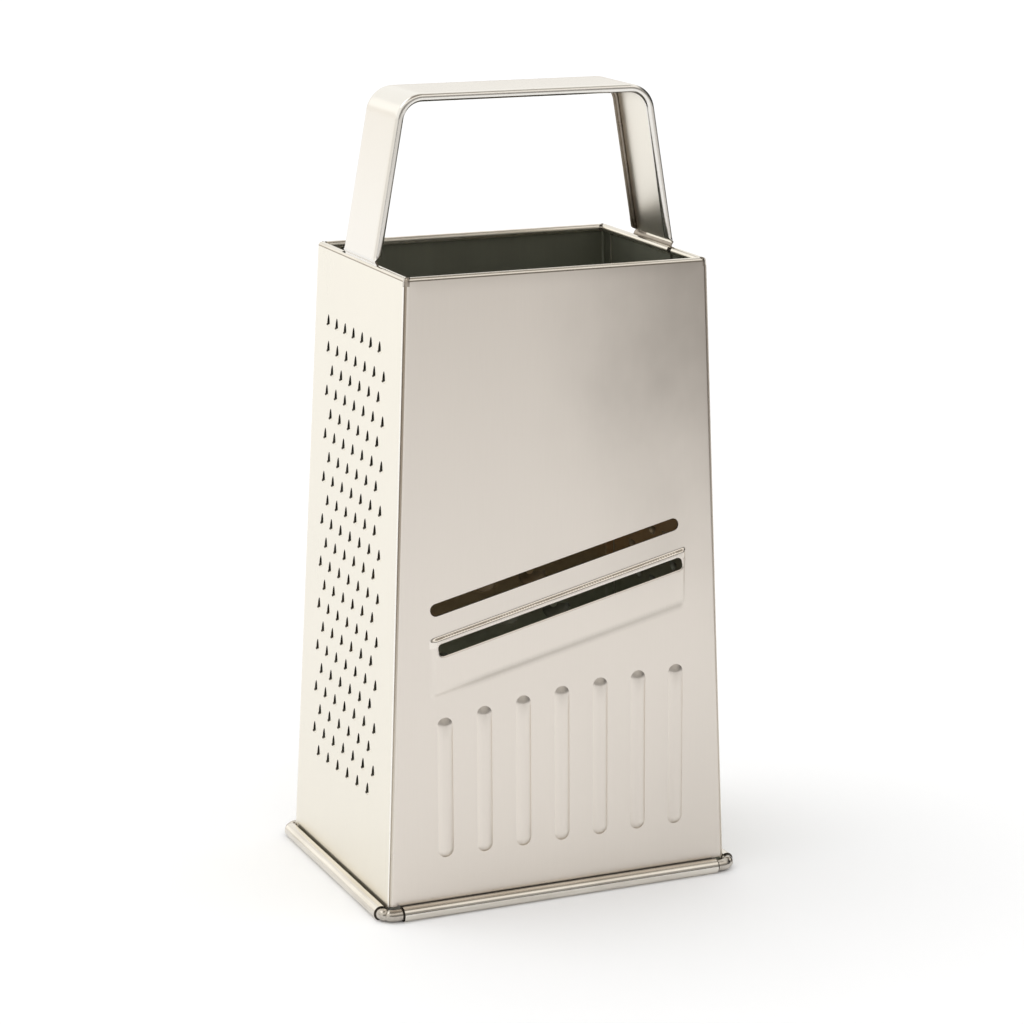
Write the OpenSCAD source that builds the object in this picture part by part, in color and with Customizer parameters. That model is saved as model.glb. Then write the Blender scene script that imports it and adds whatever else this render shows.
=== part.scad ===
// Four-sided box grater: four pressed sheets, two edge wires and a strap handle.
// Millimetres. +Z is up, the origin is on the table under the middle of the body,
// the slicing side faces -Y and the fine grating side faces -X.

/* [Body] */
// Height from the table to the top of the handle
total_h = 215; // [208:1:222]
// Height from the table to the top of the rim
body_h = 171; // [166:1:175]
// Width of the body across its sheets at the foot
base_w = 99.9; // [97:0.1:102]
// Depth of the body across its sheets at the foot
base_d = 72.4; // [69:0.2:74]
// Width of the body across its sheets at the rim
top_w = 86.5; // [83.5:0.1:88]
// Depth of the body across its sheets at the rim
top_d = 62.9; // [61:0.1:64.5]
// Thickness of the body sheets
sheet = 0.4; // [0.35:0.05:0.45]
// Outer radius of the bend at each corner
corner_r = 1.1; // [0.9:0.1:1.4]
// Width of the flange that laps inside the next side
flange_w = 5; // [4:0.5:7]

/* [Wired edges] */
// Outer diameter of the curl round the foot wire
bead_d = 4; // [3.8:0.1:4.4]
// Distance from a body corner to the end of each foot curl
bead_gap = 3; // [2.6:0.1:4]
// Centre-line bend radius of the foot wire at the corners
bead_bend = 4; // [3.6:0.1:4.2]
// Outer diameter of the roll along the rim
rim_d = 2.1; // [2:0.1:2.2]
// Diameter of the wire inside the rim roll
rim_wire_d = 0.76; // [0.6:0.02:0.78]
// Gap between two rim rolls at a mitred corner
rim_gap = 0.6; // [0.4:0.1:1]

/* [Handle] */
// Width of the strap
strap_w = 22.5; // [19:0.5:23]
// Thickness of the strap
strap_t = 0.5; // [0.4:0.05:0.5]
// Outer diameter of the strap's rolled-in edges
hem_d = 2.2; // [2:0.1:2.4]
// Outer radius of the strap's two bends
strap_bend = 7.5; // [6:0.5:9]
// Lean of the strap's legs from upright
strap_lean = 9.9; // [8:0.1:11]
// Length of each strap foot below the rim
foot_l = 12; // [8:1:16]

/* [Slicing side] */
// Width of the two slots
slot_w = 3.5; // [3:0.1:3.8]
// Slope of the slots and of the raised bed
slot_slope = 13.2; // [12:0.1:14]
// Height of the raised bed at its upper edge
bed_h = 0.8; // [0.7:0.1:1.2]
// Number of ribs
rib_n = 7; // [5:1:7]
// Distance between ribs
rib_pitch = 11.3; // [11:0.02:11.5]
// Width of a rib
rib_w = 4.4; // [4:0.1:4.8]
// Height of a rib
rib_h = 0.95; // [0.8:0.05:1.3]

/* [Grating sides] */
// Number of rows of fine teeth
fine_rows = 21; // [15:1:21]
// Distance between rows of fine teeth
fine_pitch = 5.98; // [5.8:0.02:6.1]
// Number of rows of medium teeth
medium_rows = 16; // [10:1:16]
// Number of rows of coarse teeth
coarse_rows = 11; // [8:1:11]

/* [Hidden] */
$fn = 48;

bead_r = bead_d / 2;
wire_r = bead_r - sheet;
// The curls are cut flat underneath by this much, so that the grater stands on faces
foot_flat = 0.15;
bead_z = bead_r - foot_flat;
rim_r = rim_d / 2;
rim_z = body_h - rim_r;
// Play between pieces that lie against each other
play = 0.01;
// Height at which the sheets are notched at the corners, clear of the foot wire
notch_z = bead_z + wire_r + 0.25;
far = 400;

// A side is [foot width, rim width, foot distance, rim distance, turn about Z]
FRONT = [base_w, top_w, base_d, top_d, 0];
RIGHT = [base_d, top_d, base_w, top_w, 90];
BACK = [base_w, top_w, base_d, top_d, 180];
LEFT = [base_d, top_d, base_w, top_w, -90];

// A side's own frame has X along the side, Y up the sheet and Z out of the sheet
function lean(s) = atan((s[2] - s[3]) / 2 / (rim_z - bead_z));
function start_z(s) = bead_z - wire_r * sin(lean(s));
function start_y(s) = s[2] / 2 + wire_r * sin(lean(s)) * tan(lean(s));
function up(s, z) = (z - start_z(s)) / cos(lean(s));
function rise(s) = up(s, rim_z + rim_r * sin(lean(s)));
function half_w(s, v) = (s[0] - (s[0] - s[1]) * v / rise(s)) / 2;
function edge_lean(s) = atan((s[0] - s[1]) / 2 / rise(s));

module turned(s) rotate([0, 0, s[4]]) children();
module leaned(s) translate([0, -start_y(s), start_z(s)]) rotate([90 - lean(s), 0, 0]) children();
module on_side(s) turned(s) leaned(s) children();

// Draws a profile along X: its own X points into the body and its own Y up
module along(len) translate([-len / 2, 0, 0]) rotate([0, 90, 0]) linear_extrude(len) children();

module flat_sheet(s, inset) {
    n = up(s, notch_z);
    tab = s[0] / 2 - bead_gap;
    low = half_w(s, n) - inset;
    high = half_w(s, rise(s)) - inset;
    translate([0, 0, -sheet])
        linear_extrude(sheet)
            polygon([[-tab, 0], [tab, 0], [tab, n], [low, n], [high, rise(s)],
                     [-high, rise(s)], [-low, n], [-tab, n]]);
}

// The sheet goes down behind the foot wire, under it and back over its top
module foot_curl(s) {
    open = 80;
    difference() {
        on_side(s)
            translate([0, 0, wire_r])
                along(s[0] - 2 * bead_gap)
                    difference() {
                        circle(bead_r);
                        circle(wire_r);
                        polygon([[0, 0], [far, 0], far * [cos(open), sin(open)]]);
                    }
        translate([-far / 2, -far / 2, -far]) cube(far);
    }
}

// The sheet goes over the rim wire, and its free edge ends under the wire
module rim_roll(s, inset) {
    half = s[1] / 2 - rim_gap / sqrt(2);
    deep = rim_d + 3;
    turned(s)
        intersection() {
            leaned(s)
                translate([0, rise(s), -rim_r])
                    along(s[1] - 2 * inset)
                        difference() {
                            circle(rim_r);
                            circle(rim_r - sheet);
                            translate([-far, -far]) square(far);
                        }
            translate([0, -s[3] / 2, rim_z - deep])
                linear_extrude(2 * deep)
                    polygon([[-half - 1, -1], [half + 1, -1],
                             [half - deep, deep], [deep - half, deep]]);
        }
}

// The sheet turns the corner and laps behind the next side
module corner_flange(s) {
    low = up(s, notch_z);
    high = rise(s) - rim_r - 0.15;
    clear = sheet + play;
    for (m = [0, 1])
        mirror([m, 0, 0])
            translate([s[0] / 2, 0, 0])
                rotate([0, 0, edge_lean(s)])
                    translate([0, low, 0])
                        rotate([-90, 0, 0])
                            linear_extrude(high - low)
                                translate([-clear - corner_r, 0])
                                    corner_profile();
}

module corner_profile() {
    intersection() {
        translate([0, corner_r])
            difference() {
                circle(corner_r);
                circle(corner_r - sheet);
            }
        square(corner_r);
    }
    translate([corner_r - sheet, corner_r]) square([sheet, flange_w - corner_r]);
    translate([-1, 0]) square([1, sheet]);
}

// A cap of a ball that stands h above the sheet on a circle of radius a
function ball_r(a, h) = (a * a + h * h) / 2 / h;
module ball_cap(a, h, skin) translate([0, 0, h - ball_r(a, h)]) sphere(ball_r(a, h) - skin);

// A tooth is the lower half of a cap, with its sharp edge facing up
module tooth(a, h)
    intersection() {
        ball_cap(a, h, 0);
        translate([-a, -a, -sheet]) cube([2 * a, a, h + sheet]);
    }

// The mouth over a tooth reaches m above its edge. A mouth that is taller than the tooth
// is wide comes to a point.
module mouth(a, h, m) {
    b = a - 0.3 * sheet;
    intersection() {
        ball_cap(a, h, 0.8 * sheet);
        translate([-a, -a, -1]) cube([2 * a, a + 0.1, h + 1]);
    }
    translate([0, 0, -1])
        linear_extrude(1.2)
            if (m > a)
                polygon([[-b, 0], [b, 0], [0.6 * b, 0.5 * m], [0, m], [-0.6 * b, 0.5 * m]]);
            else
                intersection() {
                    circle(b);
                    translate([-a, 0]) square([2 * a, m]);
                }
}

// Rows of teeth: places is a list of [x, y] in the side's frame
module toothed(places, a, h, m)
    difference() {
        union() {
            children();
            for (p = places) translate(p) tooth(a, h);
        }
        for (p = places) translate(p) mouth(a, h, m);
    }

// Row i of a staggered field has n teeth, or one fewer on every second row
function field(s, rows, n, top_z, row_pitch, share, shift) =
    [for (i = [0:rows - 1])
        let (v = up(s, top_z - i * row_pitch), k = n - i % 2, step = share * 2 * half_w(s, v))
        for (j = [0:k - 1]) [shift + (j - (k - 1) / 2) * step, v, 0]];

// The first row of fine teeth stands apart, a little higher and closer set. The rows aren't
// quite level: they turn slowly from falling to rising down the sheet.
fine_top_z = 142.75;
fine_tilt = 0.014;
function fine_row(i, z, k, step, shift) =
    [for (j = [0:k - 1])
        let (x = shift + (j - (k - 1) / 2) * step)
        [x, up(LEFT, z) + (0.002 * i - fine_tilt) * x, 0]];
fine_field = concat(
    fine_row(0, fine_top_z + 7.15, 7, 6.25, -2.5),
    [for (i = [0:fine_rows - 2])
        let (z = fine_top_z - i * fine_pitch + 0.0018 * i * i)
        each fine_row(i, z, 7 - i % 2, 0.21 * half_w(LEFT, up(LEFT, z)), -0.45)]);
medium_field = field(RIGHT, medium_rows, 6, 148, 7.4, 0.127, 0);
coarse_field = field(BACK, coarse_rows, 5, 146, 10.8, 0.16, 0);

// A slot's ends have corners of radius r
module slot(len, w, r) {
    square([len - 2 * r, w], center = true);
    square([len, w - 2 * r], center = true);
    for (x = [-1, 1], y = [-1, 1])
        translate([x * (len / 2 - r), y * (w / 2 - r)]) circle(r);
}

// Places a shape on the slicing side, along the slope, at x across and z high
module sloped(x, z) translate([x, up(FRONT, z), 0]) rotate([0, 0, slot_slope]) children();

bed_x = [-37.1, 36.6];
bed_z = 76.7;
bed_half = 7.9;
bed_low = 0.32;
// The bed is highest at its upper edge and runs down to a low step at its foot
module bed_body(skin)
    intersection() {
        sloped(0, bed_z)
            along(100)
                polygon([[skin + 0.2, bed_half - skin], [skin + 0.2, 2 * skin - bed_half],
                         [skin - bed_low, 1 - bed_half + skin],
                         [skin - bed_h, bed_half - 0.8 - skin], [skin, bed_half - skin]]);
        translate([bed_x[0] + skin, 0, -1])
            cube([bed_x[1] - bed_x[0] - 2 * skin, far, 4]);
    }

// A rib is a round-ended bar, sunk so far that a strip rib_w wide stands out
module rib_body(len, skin) {
    r = ball_r(rib_w / 2, rib_h) - skin;
    reach = len - rib_w;
    intersection() {
        translate([0, -rib_w / 2, rib_h - skin - r])
            rotate([90, 0, 0])
                rotate_extrude()
                    intersection() {
                        union() {
                            circle(r);
                            translate([0, reach]) circle(r);
                            translate([-r, 0]) square([2 * r, reach]);
                        }
                        translate([0, -r]) square([r, reach + 2 * r]);
                    }
        translate([-rib_w, -len, skin > 0 ? -1 : -0.9 * sheet]) cube([2 * rib_w, len, 4]);
    }
}

// The ribs start on a shallow rising arc and end level
rib_shift = 0.65;
rib_foot_z = 15.4;
function rib_top(i) = 53.9 + 1.95 * i - 0.14 * i * i;
module ribs(skin)
    for (i = [0:rib_n - 1])
        translate([(i - (rib_n - 1) / 2) * rib_pitch + rib_shift, up(FRONT, rib_top(i)), 0])
            rib_body(rib_top(i) - rib_foot_z, skin);

module front_panel()
    color("gainsboro") {
        rim_roll(FRONT, sheet + corner_r);
        on_side(FRONT) {
            difference() {
                union() {
                    flat_sheet(FRONT, sheet + corner_r);
                    bed_body(0);
                    ribs(0);
                }
                bed_body(sheet);
                ribs(0.9 * sheet);
                sloped(0.5, 80.58) translate([0, 0, -5]) linear_extrude(10) slot(73, slot_w, 1.2);
                sloped(-1.02, 91.4) translate([0, 0, -5]) linear_extrude(10) slot(74.1, slot_w, 1.7);
            }
            corner_flange(FRONT);
        }
        foot_curl(FRONT);
    }

module back_panel()
    color("gainsboro") {
        rim_roll(BACK, sheet + corner_r);
        on_side(BACK) {
            toothed(coarse_field, 4.3, 1.9, 0.45) flat_sheet(BACK, sheet + corner_r);
            corner_flange(BACK);
        }
        foot_curl(BACK);
    }

// The side panels butt against the bends, and the handle's feet pass through their rolls
side_inset = 0.9;
module side_panel(s, places, a, h, m)
    color("whitesmoke")
        difference() {
            union() {
                rim_roll(s, side_inset);
                on_side(s) toothed(places, a, h, m) flat_sheet(s, side_inset);
                foot_curl(s);
            }
            on_side(s) foot_slot(s);
        }

// One end of each slot is cut right through the roll, to let the foot in
module foot_slot(s) {
    half = strap_w / 2 + 0.3;
    relief = 2.2;
    translate([-half, rise(s) - 0.2, -sheet - strap_t - 0.1])
        cube([2 * half, rim_d, strap_t + 0.1]);
    translate([-half - relief, rise(s) - rim_r - 0.2, -2 * rim_d])
        cube([relief, 2 * rim_d, 2 * rim_d - sheet]);
}

module left_panel() side_panel(LEFT, fine_field, 1.1, 0.8, 2.6);
module right_panel() side_panel(RIGHT, medium_field, 2.4, 1.2, 0.35);

// A closed wire frame with straight runs and round corners
module wire_frame(w, d, bend, r)
    for (q = [0, 1])
        rotate([0, 0, 180 * q]) {
            translate([-w / 2 + bend, -d / 2, 0])
                rotate([0, 90, 0]) cylinder(r = r, h = w - 2 * bend);
            translate([w / 2, -d / 2 + bend, 0])
                rotate([-90, 0, 0]) cylinder(r = r, h = d - 2 * bend);
            for (x = [-1, 1])
                translate([x * (w / 2 - bend), -d / 2 + bend, 0])
                    rotate([0, 0, x > 0 ? -90 : 180])
                        rotate_extrude(angle = 90) translate([bend, 0]) circle(r);
        }

function tidy(x) = round(100 * x) / 100;

module foot_wire()
    color("silver")
        translate([0, 0, bead_z])
            wire_frame(tidy(base_w + 2 * wire_r * cos(lean(LEFT))),
                       tidy(base_d + 2 * wire_r * cos(lean(FRONT))),
                       bead_bend, wire_r - 2 * play);

// The rim wire lies against the inner side of the roll, leaving room for the strap feet
module rim_wire() {
    inset = sheet + strap_t + rim_wire_d / 2 + 2 * play;
    bend = 1.2;
    color("silver")
        translate([0, 0, rim_z])
            wire_frame(top_w - 2 * inset, top_d - 2 * inset, bend, rim_wire_d / 2);
}

// The strap's section is flat, with both edges rolled in by half a turn. Its outer face is on
// its Y axis. A skin makes the section slimmer all round.
module channel(skin) {
    r = hem_d / 2;
    mid = strap_w / 2 - r;
    difference() {
        stadium(r, mid, r - skin);
        stadium(r, mid, r - strap_t + skin);
        translate([-far - r, -mid]) square([far, 2 * mid]);
    }
}

module stadium(r, mid, reach) {
    for (y = [-mid, mid]) translate([-r, y]) circle(reach);
    translate([-r - reach, -mid]) square([2 * reach, 2 * mid]);
}

// The strap's foot lies inside the side panel. Just above the rim the strap steps out over the
// roll, from its hip to its knee, and from there the leg leans in.
hip_z = body_h + 0.2;
hip_x = start_y(RIGHT) - up(RIGHT, hip_z) * sin(lean(RIGHT)) - (sheet + play) * cos(lean(RIGHT));
knee_z = hip_z + 1;
knee_x = hip_x + 0.65;
crown_z = total_h - strap_bend;
crown_x = knee_x - strap_bend / cos(strap_lean) - (crown_z - knee_z) * tan(strap_lean);
leg_l = (crown_z - knee_z) / cos(strap_lean) + strap_bend * tan(strap_lean);
// The rolled edges end this far above the knee
hem_stop = 0.4;

function rising(a) = [-sin(a), cos(a)];
function inward(a) = [-cos(a), -sin(a)];

// The offset of the strap's inner face at a turn between two runs
function mitre(a, b) = strap_t * (inward(a) + inward(b)) / (1 + inward(a) * inward(b));

// The flat foot, the step and the plain start of the leg, seen from the front
module foot_strip() {
    hip = [hip_x, hip_z];
    knee = [knee_x, knee_z];
    a = lean(RIGHT);
    b = strap_lean;
    step = -atan((knee_x - hip_x) / (knee_z - hip_z));
    toe = hip - foot_l * rising(a);
    shin = knee + (hem_stop + 1) * rising(b);
    polygon([toe, hip, knee, shin, shin + strap_t * inward(b), knee + mitre(step, b),
             hip + mitre(a, step), toe + strap_t * inward(a)]);
}

// The straight runs are a hair slimmer than the bends, and run a little way into them
run_in = 0.25;
module half_handle() {
    translate([crown_x, 0, crown_z])
        rotate([90, 0, 0])
            rotate([0, 0, strap_lean]) {
                rotate_extrude(angle = 90 - strap_lean) translate([strap_bend, 0]) channel(0);
                translate([strap_bend, run_in, 0])
                    rotate([90, 0, 0]) linear_extrude(leg_l - hem_stop + run_in) channel(play);
            }
    translate([0, strap_w / 2, 0]) rotate([90, 0, 0]) linear_extrude(strap_w) foot_strip();
}

module handle()
    color("whitesmoke") {
        for (m = [0, 1]) mirror([m, 0, 0]) half_handle();
        translate([-crown_x - run_in, 0, total_h])
            rotate([90, 0, 90])
                linear_extrude(2 * (crown_x + run_in)) rotate([0, 0, 90]) channel(play);
    }

front_panel();
left_panel();
back_panel();
right_panel();
foot_wire();
rim_wire();
handle();
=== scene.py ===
"""Box grater in brushed steel: four pressed sheets, two edge wires and a strap handle.

Lengths in the shape functions are millimetres, with +Z up and the slicing side facing -Y.
"""

import math

import bmesh
import bpy
import numpy as np
from mathutils import Matrix, Vector
from mathutils.geometry import delaunay_2d_cdt


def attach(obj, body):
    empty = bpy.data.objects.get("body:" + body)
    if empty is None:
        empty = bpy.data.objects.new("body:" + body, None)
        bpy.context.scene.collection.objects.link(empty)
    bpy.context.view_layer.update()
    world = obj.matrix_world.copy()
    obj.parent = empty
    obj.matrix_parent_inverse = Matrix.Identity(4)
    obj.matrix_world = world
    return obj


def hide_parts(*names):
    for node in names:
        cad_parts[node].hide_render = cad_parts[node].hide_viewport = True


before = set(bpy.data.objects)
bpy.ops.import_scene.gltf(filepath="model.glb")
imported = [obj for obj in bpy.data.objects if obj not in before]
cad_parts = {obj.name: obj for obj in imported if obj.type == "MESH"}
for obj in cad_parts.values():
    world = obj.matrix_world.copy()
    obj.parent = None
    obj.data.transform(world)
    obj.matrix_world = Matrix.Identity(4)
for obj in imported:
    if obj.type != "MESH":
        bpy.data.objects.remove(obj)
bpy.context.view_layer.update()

# The body
TOTAL_H = 215.0
BODY_H = 171.0
BASE_W = 99.9
BASE_D = 72.4
TOP_W = 86.5
TOP_D = 62.9
SHEET = 0.4
PLAY = 0.01

# Corners and wired edges. BEAD_R is a hair under the solids' 2 mm, to stay inside their box
CORNER_R = 1.1
FLANGE_W = 5.0
EDGE_R = 0.5
SEAM_SHARE = 0.6
NOTCH_Z = 3.7
BEAD_R = 1.999
WIRE_R = BEAD_R - SHEET
BEAD_Z = 1.85
BEAD_BEND = 3.2
WIRE_PLAY = 0.03
BEAD_OPEN = math.radians(62)
RIM_R = 1.05
RIM_Z = BODY_H - RIM_R
RIM_GAP = 0.6
RIM_WIRE_R = 0.38
RIM_BEND = 1.2
ROLL_INSET = 1.9
BENT_INSET = CORNER_R + SHEET + PLAY
RAW_INSET = 0.9

# How far from the foot and from the rim the finishes of holes and teeth begin
FINISH_V = (5, 3)

# Slots of a piece's finishes. PRESSED is the step's lip on the slicing side and the teeth's hollows
# on the other sides
FACE, INNER, SHEARED, ROLLED, SHADED_BLACK, PRESSED, GRIME_SHADE_AND_SHEEN, SEAM = range(8)

# The strap handle
STRAP_W = 22.5
STRAP_T = 0.5
HEM_R = 1.1
STRAP_BEND = 7.5
STRAP_LEAN = math.radians(9.9)
HIP_Z = BODY_H + 0.2
KNEE_Z = HIP_Z + 1.0
JOG = 0.65
FOOT_L = 12.0
FOOT_SLOT = STRAP_W / 2 + 0.3
FOOT_RELIEF = 2.2
SLOT_DEEP = (0.4, 1.0)

# The slicing side. A slot is the x and z of its centre, its length, width and corner radius
SLOPE = math.tan(math.radians(13.2))
UPPER_SLOT = (-1.02, 91.4, 74.1, 3.5, 1.7)
LOWER_SLOT = (0.5, 80.58, 73.0, 3.5, 1.3)
BED_X = (-36.6, 37.2)
BED_Z = 76.7
BED_HALF = 7.9
BED_H = 0.8
BED_LOW = 0.42
LIP_W = 0.32
LIP_FALL = 0.62
RIB_PITCH = 11.3
RIB_SHIFT = 0.65
RIB_FOOT_Z = 15.4
RIB_W = 4.4
RIB_H = 0.95


def smooth(a, b, x):
    """0 below a, 1 above b, and a soft step between."""
    t = np.clip((np.asarray(x, float) - a) / (b - a), 0.0, 1.0)
    return t * t * (3 - 2 * t)


def smoother(a, b, x):
    """Like smooth, with gentler ends."""
    t = np.clip((np.asarray(x, float) - a) / (b - a), 0.0, 1.0)
    return t * t * t * (t * (6 * t - 15) + 10)


class Side:
    """One side of the body. x runs along it, v up the sheet and o out of the sheet."""

    def __init__(self, foot, rim, foot_far, rim_far, turn, gap):
        self.foot = foot
        self.tab = foot / 2 - gap
        self.rim = rim
        self.turn = math.radians(turn)
        self.lean = math.atan((foot_far - rim_far) / 2 / (RIM_Z - BEAD_Z))
        self.start_z = BEAD_Z - WIRE_R * math.sin(self.lean)
        self.start_y = foot_far / 2 + WIRE_R * math.sin(self.lean) * math.tan(self.lean)
        self.rise = self.up(RIM_Z + RIM_R * math.sin(self.lean))

    def up(self, z):
        """The v of a height z."""
        return (z - self.start_z) / math.cos(self.lean)

    def half(self, v):
        """Half the side's width at v."""
        return (self.foot - (self.foot - self.rim) * np.asarray(v, float) / self.rise) / 2

    def find(self, points, turn_only=False):
        """The x, v and o of points in the row frame."""
        p = np.asarray(points, float)
        st, ct = math.sin(self.turn), math.cos(self.turn)
        x = p[:, 0] * ct + p[:, 1] * st
        y = -p[:, 0] * st + p[:, 1] * ct
        z = p[:, 2]
        if not turn_only:
            y = y + self.start_y
            z = z - self.start_z
        s, c = math.sin(self.lean), math.cos(self.lean)
        return x, y * s + z * c, -y * c + z * s

    def place(self, points):
        """Points given as rows of x, v, o, put in the row frame."""
        x, v, o = np.asarray(points, float).reshape(-1, 3).T
        s, c = math.sin(self.lean), math.cos(self.lean)
        y = -self.start_y + v * s - o * c
        z = self.start_z + v * c + o * s
        st, ct = math.sin(self.turn), math.cos(self.turn)
        return np.stack([x * ct - y * st, x * st + y * ct, z], 1)


FRONT = Side(BASE_W, TOP_W, BASE_D, TOP_D, 0, 3.4)
RIGHT = Side(BASE_D, TOP_D, BASE_W, TOP_W, 90, 1.6)
BACK = Side(BASE_W, TOP_W, BASE_D, TOP_D, 180, 3.4)
LEFT = Side(BASE_D, TOP_D, BASE_W, TOP_W, -90, 1.6)


class Skin:
    """A surface gathered from grids and nets, which are welded where they meet."""

    def __init__(self):
        self.points = []
        self.faces = []

    def add(self, points, faces):
        """Takes in points, and faces that count from the first of them."""
        start = len(self.points)
        self.points.extend(map(tuple, points))
        self.faces.extend([tuple(start + i for i in f) for f in faces])

    def grid(self, rows, keep=None, closed=False):
        """rows is an array of rows of points. keep(i, j) says which quads stay."""
        n, m = len(rows), len(rows[0])
        quads = []
        for i in range(n - 1):
            for j in range(m if closed else m - 1):
                k = (j + 1) % m
                if keep is None or keep(i, j):
                    quads.append((i * m + j, i * m + k, (i + 1) * m + k, (i + 1) * m + j))
        self.add(np.asarray(rows, float).reshape(-1, 3), quads)

    def mesh(self, name, sharp=40):
        """The welded mesh, smooth but for edges sharper than so many degrees."""
        mesh = bpy.data.meshes.new(name)
        mesh.from_pydata([tuple(c * 0.001 for c in p) for p in self.points], [], self.faces)
        weld(mesh)
        mesh.set_sharp_from_angle(angle=math.radians(sharp))
        return mesh


def weld(mesh):
    """Joins points that lie on each other and drops what has no face."""
    bm = bmesh.new()
    bm.from_mesh(mesh)
    bmesh.ops.remove_doubles(bm, verts=bm.verts, dist=2e-6)
    bmesh.ops.dissolve_degenerate(bm, dist=1e-7, edges=bm.edges)
    loose = [v for v in bm.verts if not v.link_faces]
    bmesh.ops.delete(bm, geom=loose, context="VERTS")
    for f in bm.faces:
        f.smooth = True
    bm.to_mesh(mesh)
    bm.free()


def inside(points, loop):
    """Which of the points lie inside a closed loop of corners."""
    x, y = points[:, 0], points[:, 1]
    result = np.zeros(len(points), bool)
    for (ax, ay), (bx, by) in zip(loop, np.roll(loop, -1, axis=0)):
        crosses = (ay > y) != (by > y)
        if crosses.any():
            at = (bx - ax) * (y - ay) / (by - ay + 1e-30) + ax
            result ^= crosses & (x < at)
    return result


def net(outline, holes, points, clear):
    """Triangles over an outline with holes. points closer than clear to an edge are left out."""
    loops = [np.asarray(outline, float)] + [np.asarray(h, float) for h in holes]
    fixed, edges = [], []
    for loop in loops:
        start = len(fixed)
        n = len(loop)
        fixed.extend(loop)
        edges.extend([(start + i, start + (i + 1) % n) for i in range(n)])
    fixed = np.asarray(fixed)
    pts = np.asarray(points, float)
    pts = pts[inside(pts, loops[0])]
    away = np.full(len(pts), 1e9)
    for a, b in zip(loops[0], np.roll(loops[0], -1, axis=0)):
        away = np.minimum(away, distance(pts, a, b))
    pts = pts[away > 0.8]
    for loop in loops[1:]:
        near = (
            (pts[:, 0] > loop[:, 0].min() - clear)
            & (pts[:, 0] < loop[:, 0].max() + clear)
            & (pts[:, 1] > loop[:, 1].min() - clear)
            & (pts[:, 1] < loop[:, 1].max() + clear)
        )
        if near.any():
            drop = np.zeros(len(pts), bool)
            where = np.nonzero(near)[0]
            drop[where] = inside(pts[where], loop)
            away = np.full(len(where), 1e9)
            for a, b in zip(loop, np.roll(loop, -1, axis=0)):
                away = np.minimum(away, distance(pts[where], a, b))
            drop[where] |= away < clear
            pts = pts[~drop]
    every = np.concatenate([fixed, pts])
    found = delaunay_2d_cdt([Vector(p) for p in every], edges, [], 0, 1e-7)
    places = np.array([tuple(p) for p in found[0]])
    faces = np.array(found[2])
    middle = places[faces].mean(1)
    good = inside(middle, loops[0])
    for loop in loops[1:]:
        good &= ~inside(middle, loop)
    faces = faces[good]
    a, b, c = (places[faces[:, i]] for i in range(3))
    area = (b[:, 0] - a[:, 0]) * (c[:, 1] - a[:, 1]) - (b[:, 1] - a[:, 1]) * (c[:, 0] - a[:, 0])
    faces[area < 0] = faces[area < 0][:, ::-1]
    return places, faces[abs(area) > 1e-6]


def distance(points, a, b):
    """Distance of each point from the straight piece a to b."""
    d = b - a
    t = np.clip(((points - a) @ d) / (d @ d + 1e-12), 0, 1)
    return np.linalg.norm(points - (a + t[:, None] * d), axis=1)


def steps(a, b, pitch):
    """Even steps from a to b, about a pitch apart."""
    return np.linspace(a, b, max(2, int(round(abs(b - a) / pitch)) + 1))


def uneven(values):
    """The values with a tiny step on every second one, so that no three points are in line."""
    return np.asarray(values, float) + 0.002 * (np.arange(len(values)) % 2)


def body_outline(side, inset, columns, rows):
    """The flat's edge: columns along the foot and the rim, rows up both edges."""
    tab = side.tab
    notch = side.up(NOTCH_Z)
    foot = [(x * tab, 0.0) for x in columns]
    rim = [(x * (side.half(side.rise) - inset), side.rise) for x in columns]
    edge = uneven(side.half(rows) - inset)
    right = list(zip(edge, rows))
    left = list(zip(-edge, rows))
    return foot + [(tab, notch)] + right + rim[::-1] + left[::-1] + [(-tab, notch)]


def sheet_piece(name, side, holes, points, relief, clear, bent):
    """One pressed sheet: its flat with relief, the rim roll, the foot curl and bent corners."""
    skin = Skin()
    inset = BENT_INSET if bent else RAW_INSET
    cuts = [] if bent else foot_cuts(side, inset)
    columns = np.unique(np.round(np.concatenate([steps(-1, 1, 0.04), cuts]), 6))
    high = side.rise - RIM_R - 0.15
    rows = steps(side.up(NOTCH_Z), high, 2.0)
    outline = body_outline(side, inset, columns, rows)
    places, faces = net(outline, holes, points, clear)
    skin.add(side.place(np.column_stack([places, relief(places[:, 0], places[:, 1])])), faces)
    rim_roll(skin, side, inset, columns, not bent)
    foot_curl(skin, side, columns)
    if bent:
        upright_bends(skin, side, inset, rows, CORNER_R, math.pi / 2, FLANGE_W)
    else:
        upright_bends(skin, side, inset, rows, EDGE_R, math.radians(50), 0.0)
    piece = thicken(name, skin, SHEET)
    share_out(piece, side, inset, bent)
    return piece


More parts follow.
